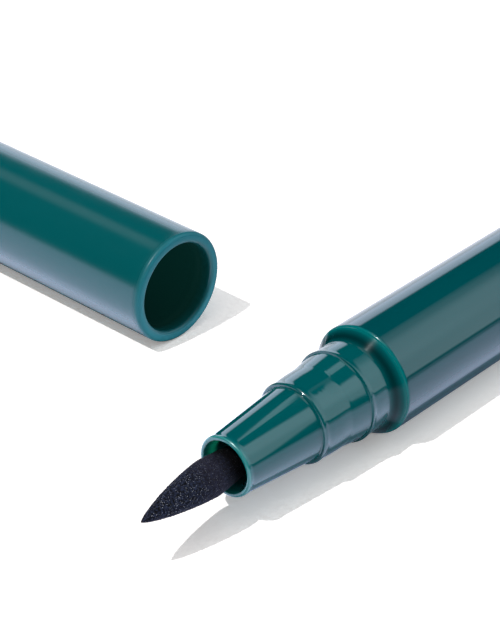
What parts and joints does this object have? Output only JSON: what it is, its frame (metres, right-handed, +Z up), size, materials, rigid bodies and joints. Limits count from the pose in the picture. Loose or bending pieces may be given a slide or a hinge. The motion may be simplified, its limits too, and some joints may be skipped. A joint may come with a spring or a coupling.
{
  "type": "felt-tip eyeliner",
  "caption": "Slim round eyeliner pen with a pointed felt nib in a conical front section, lying beside its cap, which holds a sprung inner cap.",
  "frame": {"origin": "on the table, under the middle of the box round everything that lies on it", "axes": "+Z up, the pen lies along Y with its nib towards -Y and its tail towards +Y, the cap lies along X with its mouth towards +X"},
  "size_m": [0.0684, 0.1206, 0.0105],
  "materials": {
    "barrel": "glossy dark teal moulding",
    "tail_plug": "glossy dark teal moulding",
    "front_section": "glossy dark teal moulding",
    "nib": "granular felt soaked with dark ink",
    "nib_collar": "natural white moulding",
    "reservoir_fibre": "bonded fibre soaked with dark ink",
    "reservoir_wrap": "thin clear film",
    "cap_shell": "glossy dark teal moulding",
    "inner_cap": "satin dark teal moulding",
    "cap_spring": "drawn steel wire"
  },
  "bodies": {
    "pen": {"barrel": "barrel", "tail_plug": "tail_plug", "front_section": "front_section", "nib": "nib", "nib_collar": "nib_collar", "reservoir_fibre": "reservoir_fibre", "reservoir_wrap": "reservoir_wrap"},
    "cap": {"cap_shell": "cap_shell", "cap_spring": "cap_spring"},
    "inner_cap": {"inner_cap": "inner_cap"}
  },
  "joints": [
    {"name": "cap_pull_off", "type": "slide", "parent": "pen", "child": "cap", "axis": [-1, 0, 0], "range_m": [0, 0.03]},
    {"name": "inner_cap_press", "type": "slide", "parent": "cap", "child": "inner_cap", "axis": [-1, 0, 0], "range_m": [0, 0.0015], "stiffness_N_per_m": 120, "springref_m": -0.002, "deforming": ["cap_spring"]}
  ]
}
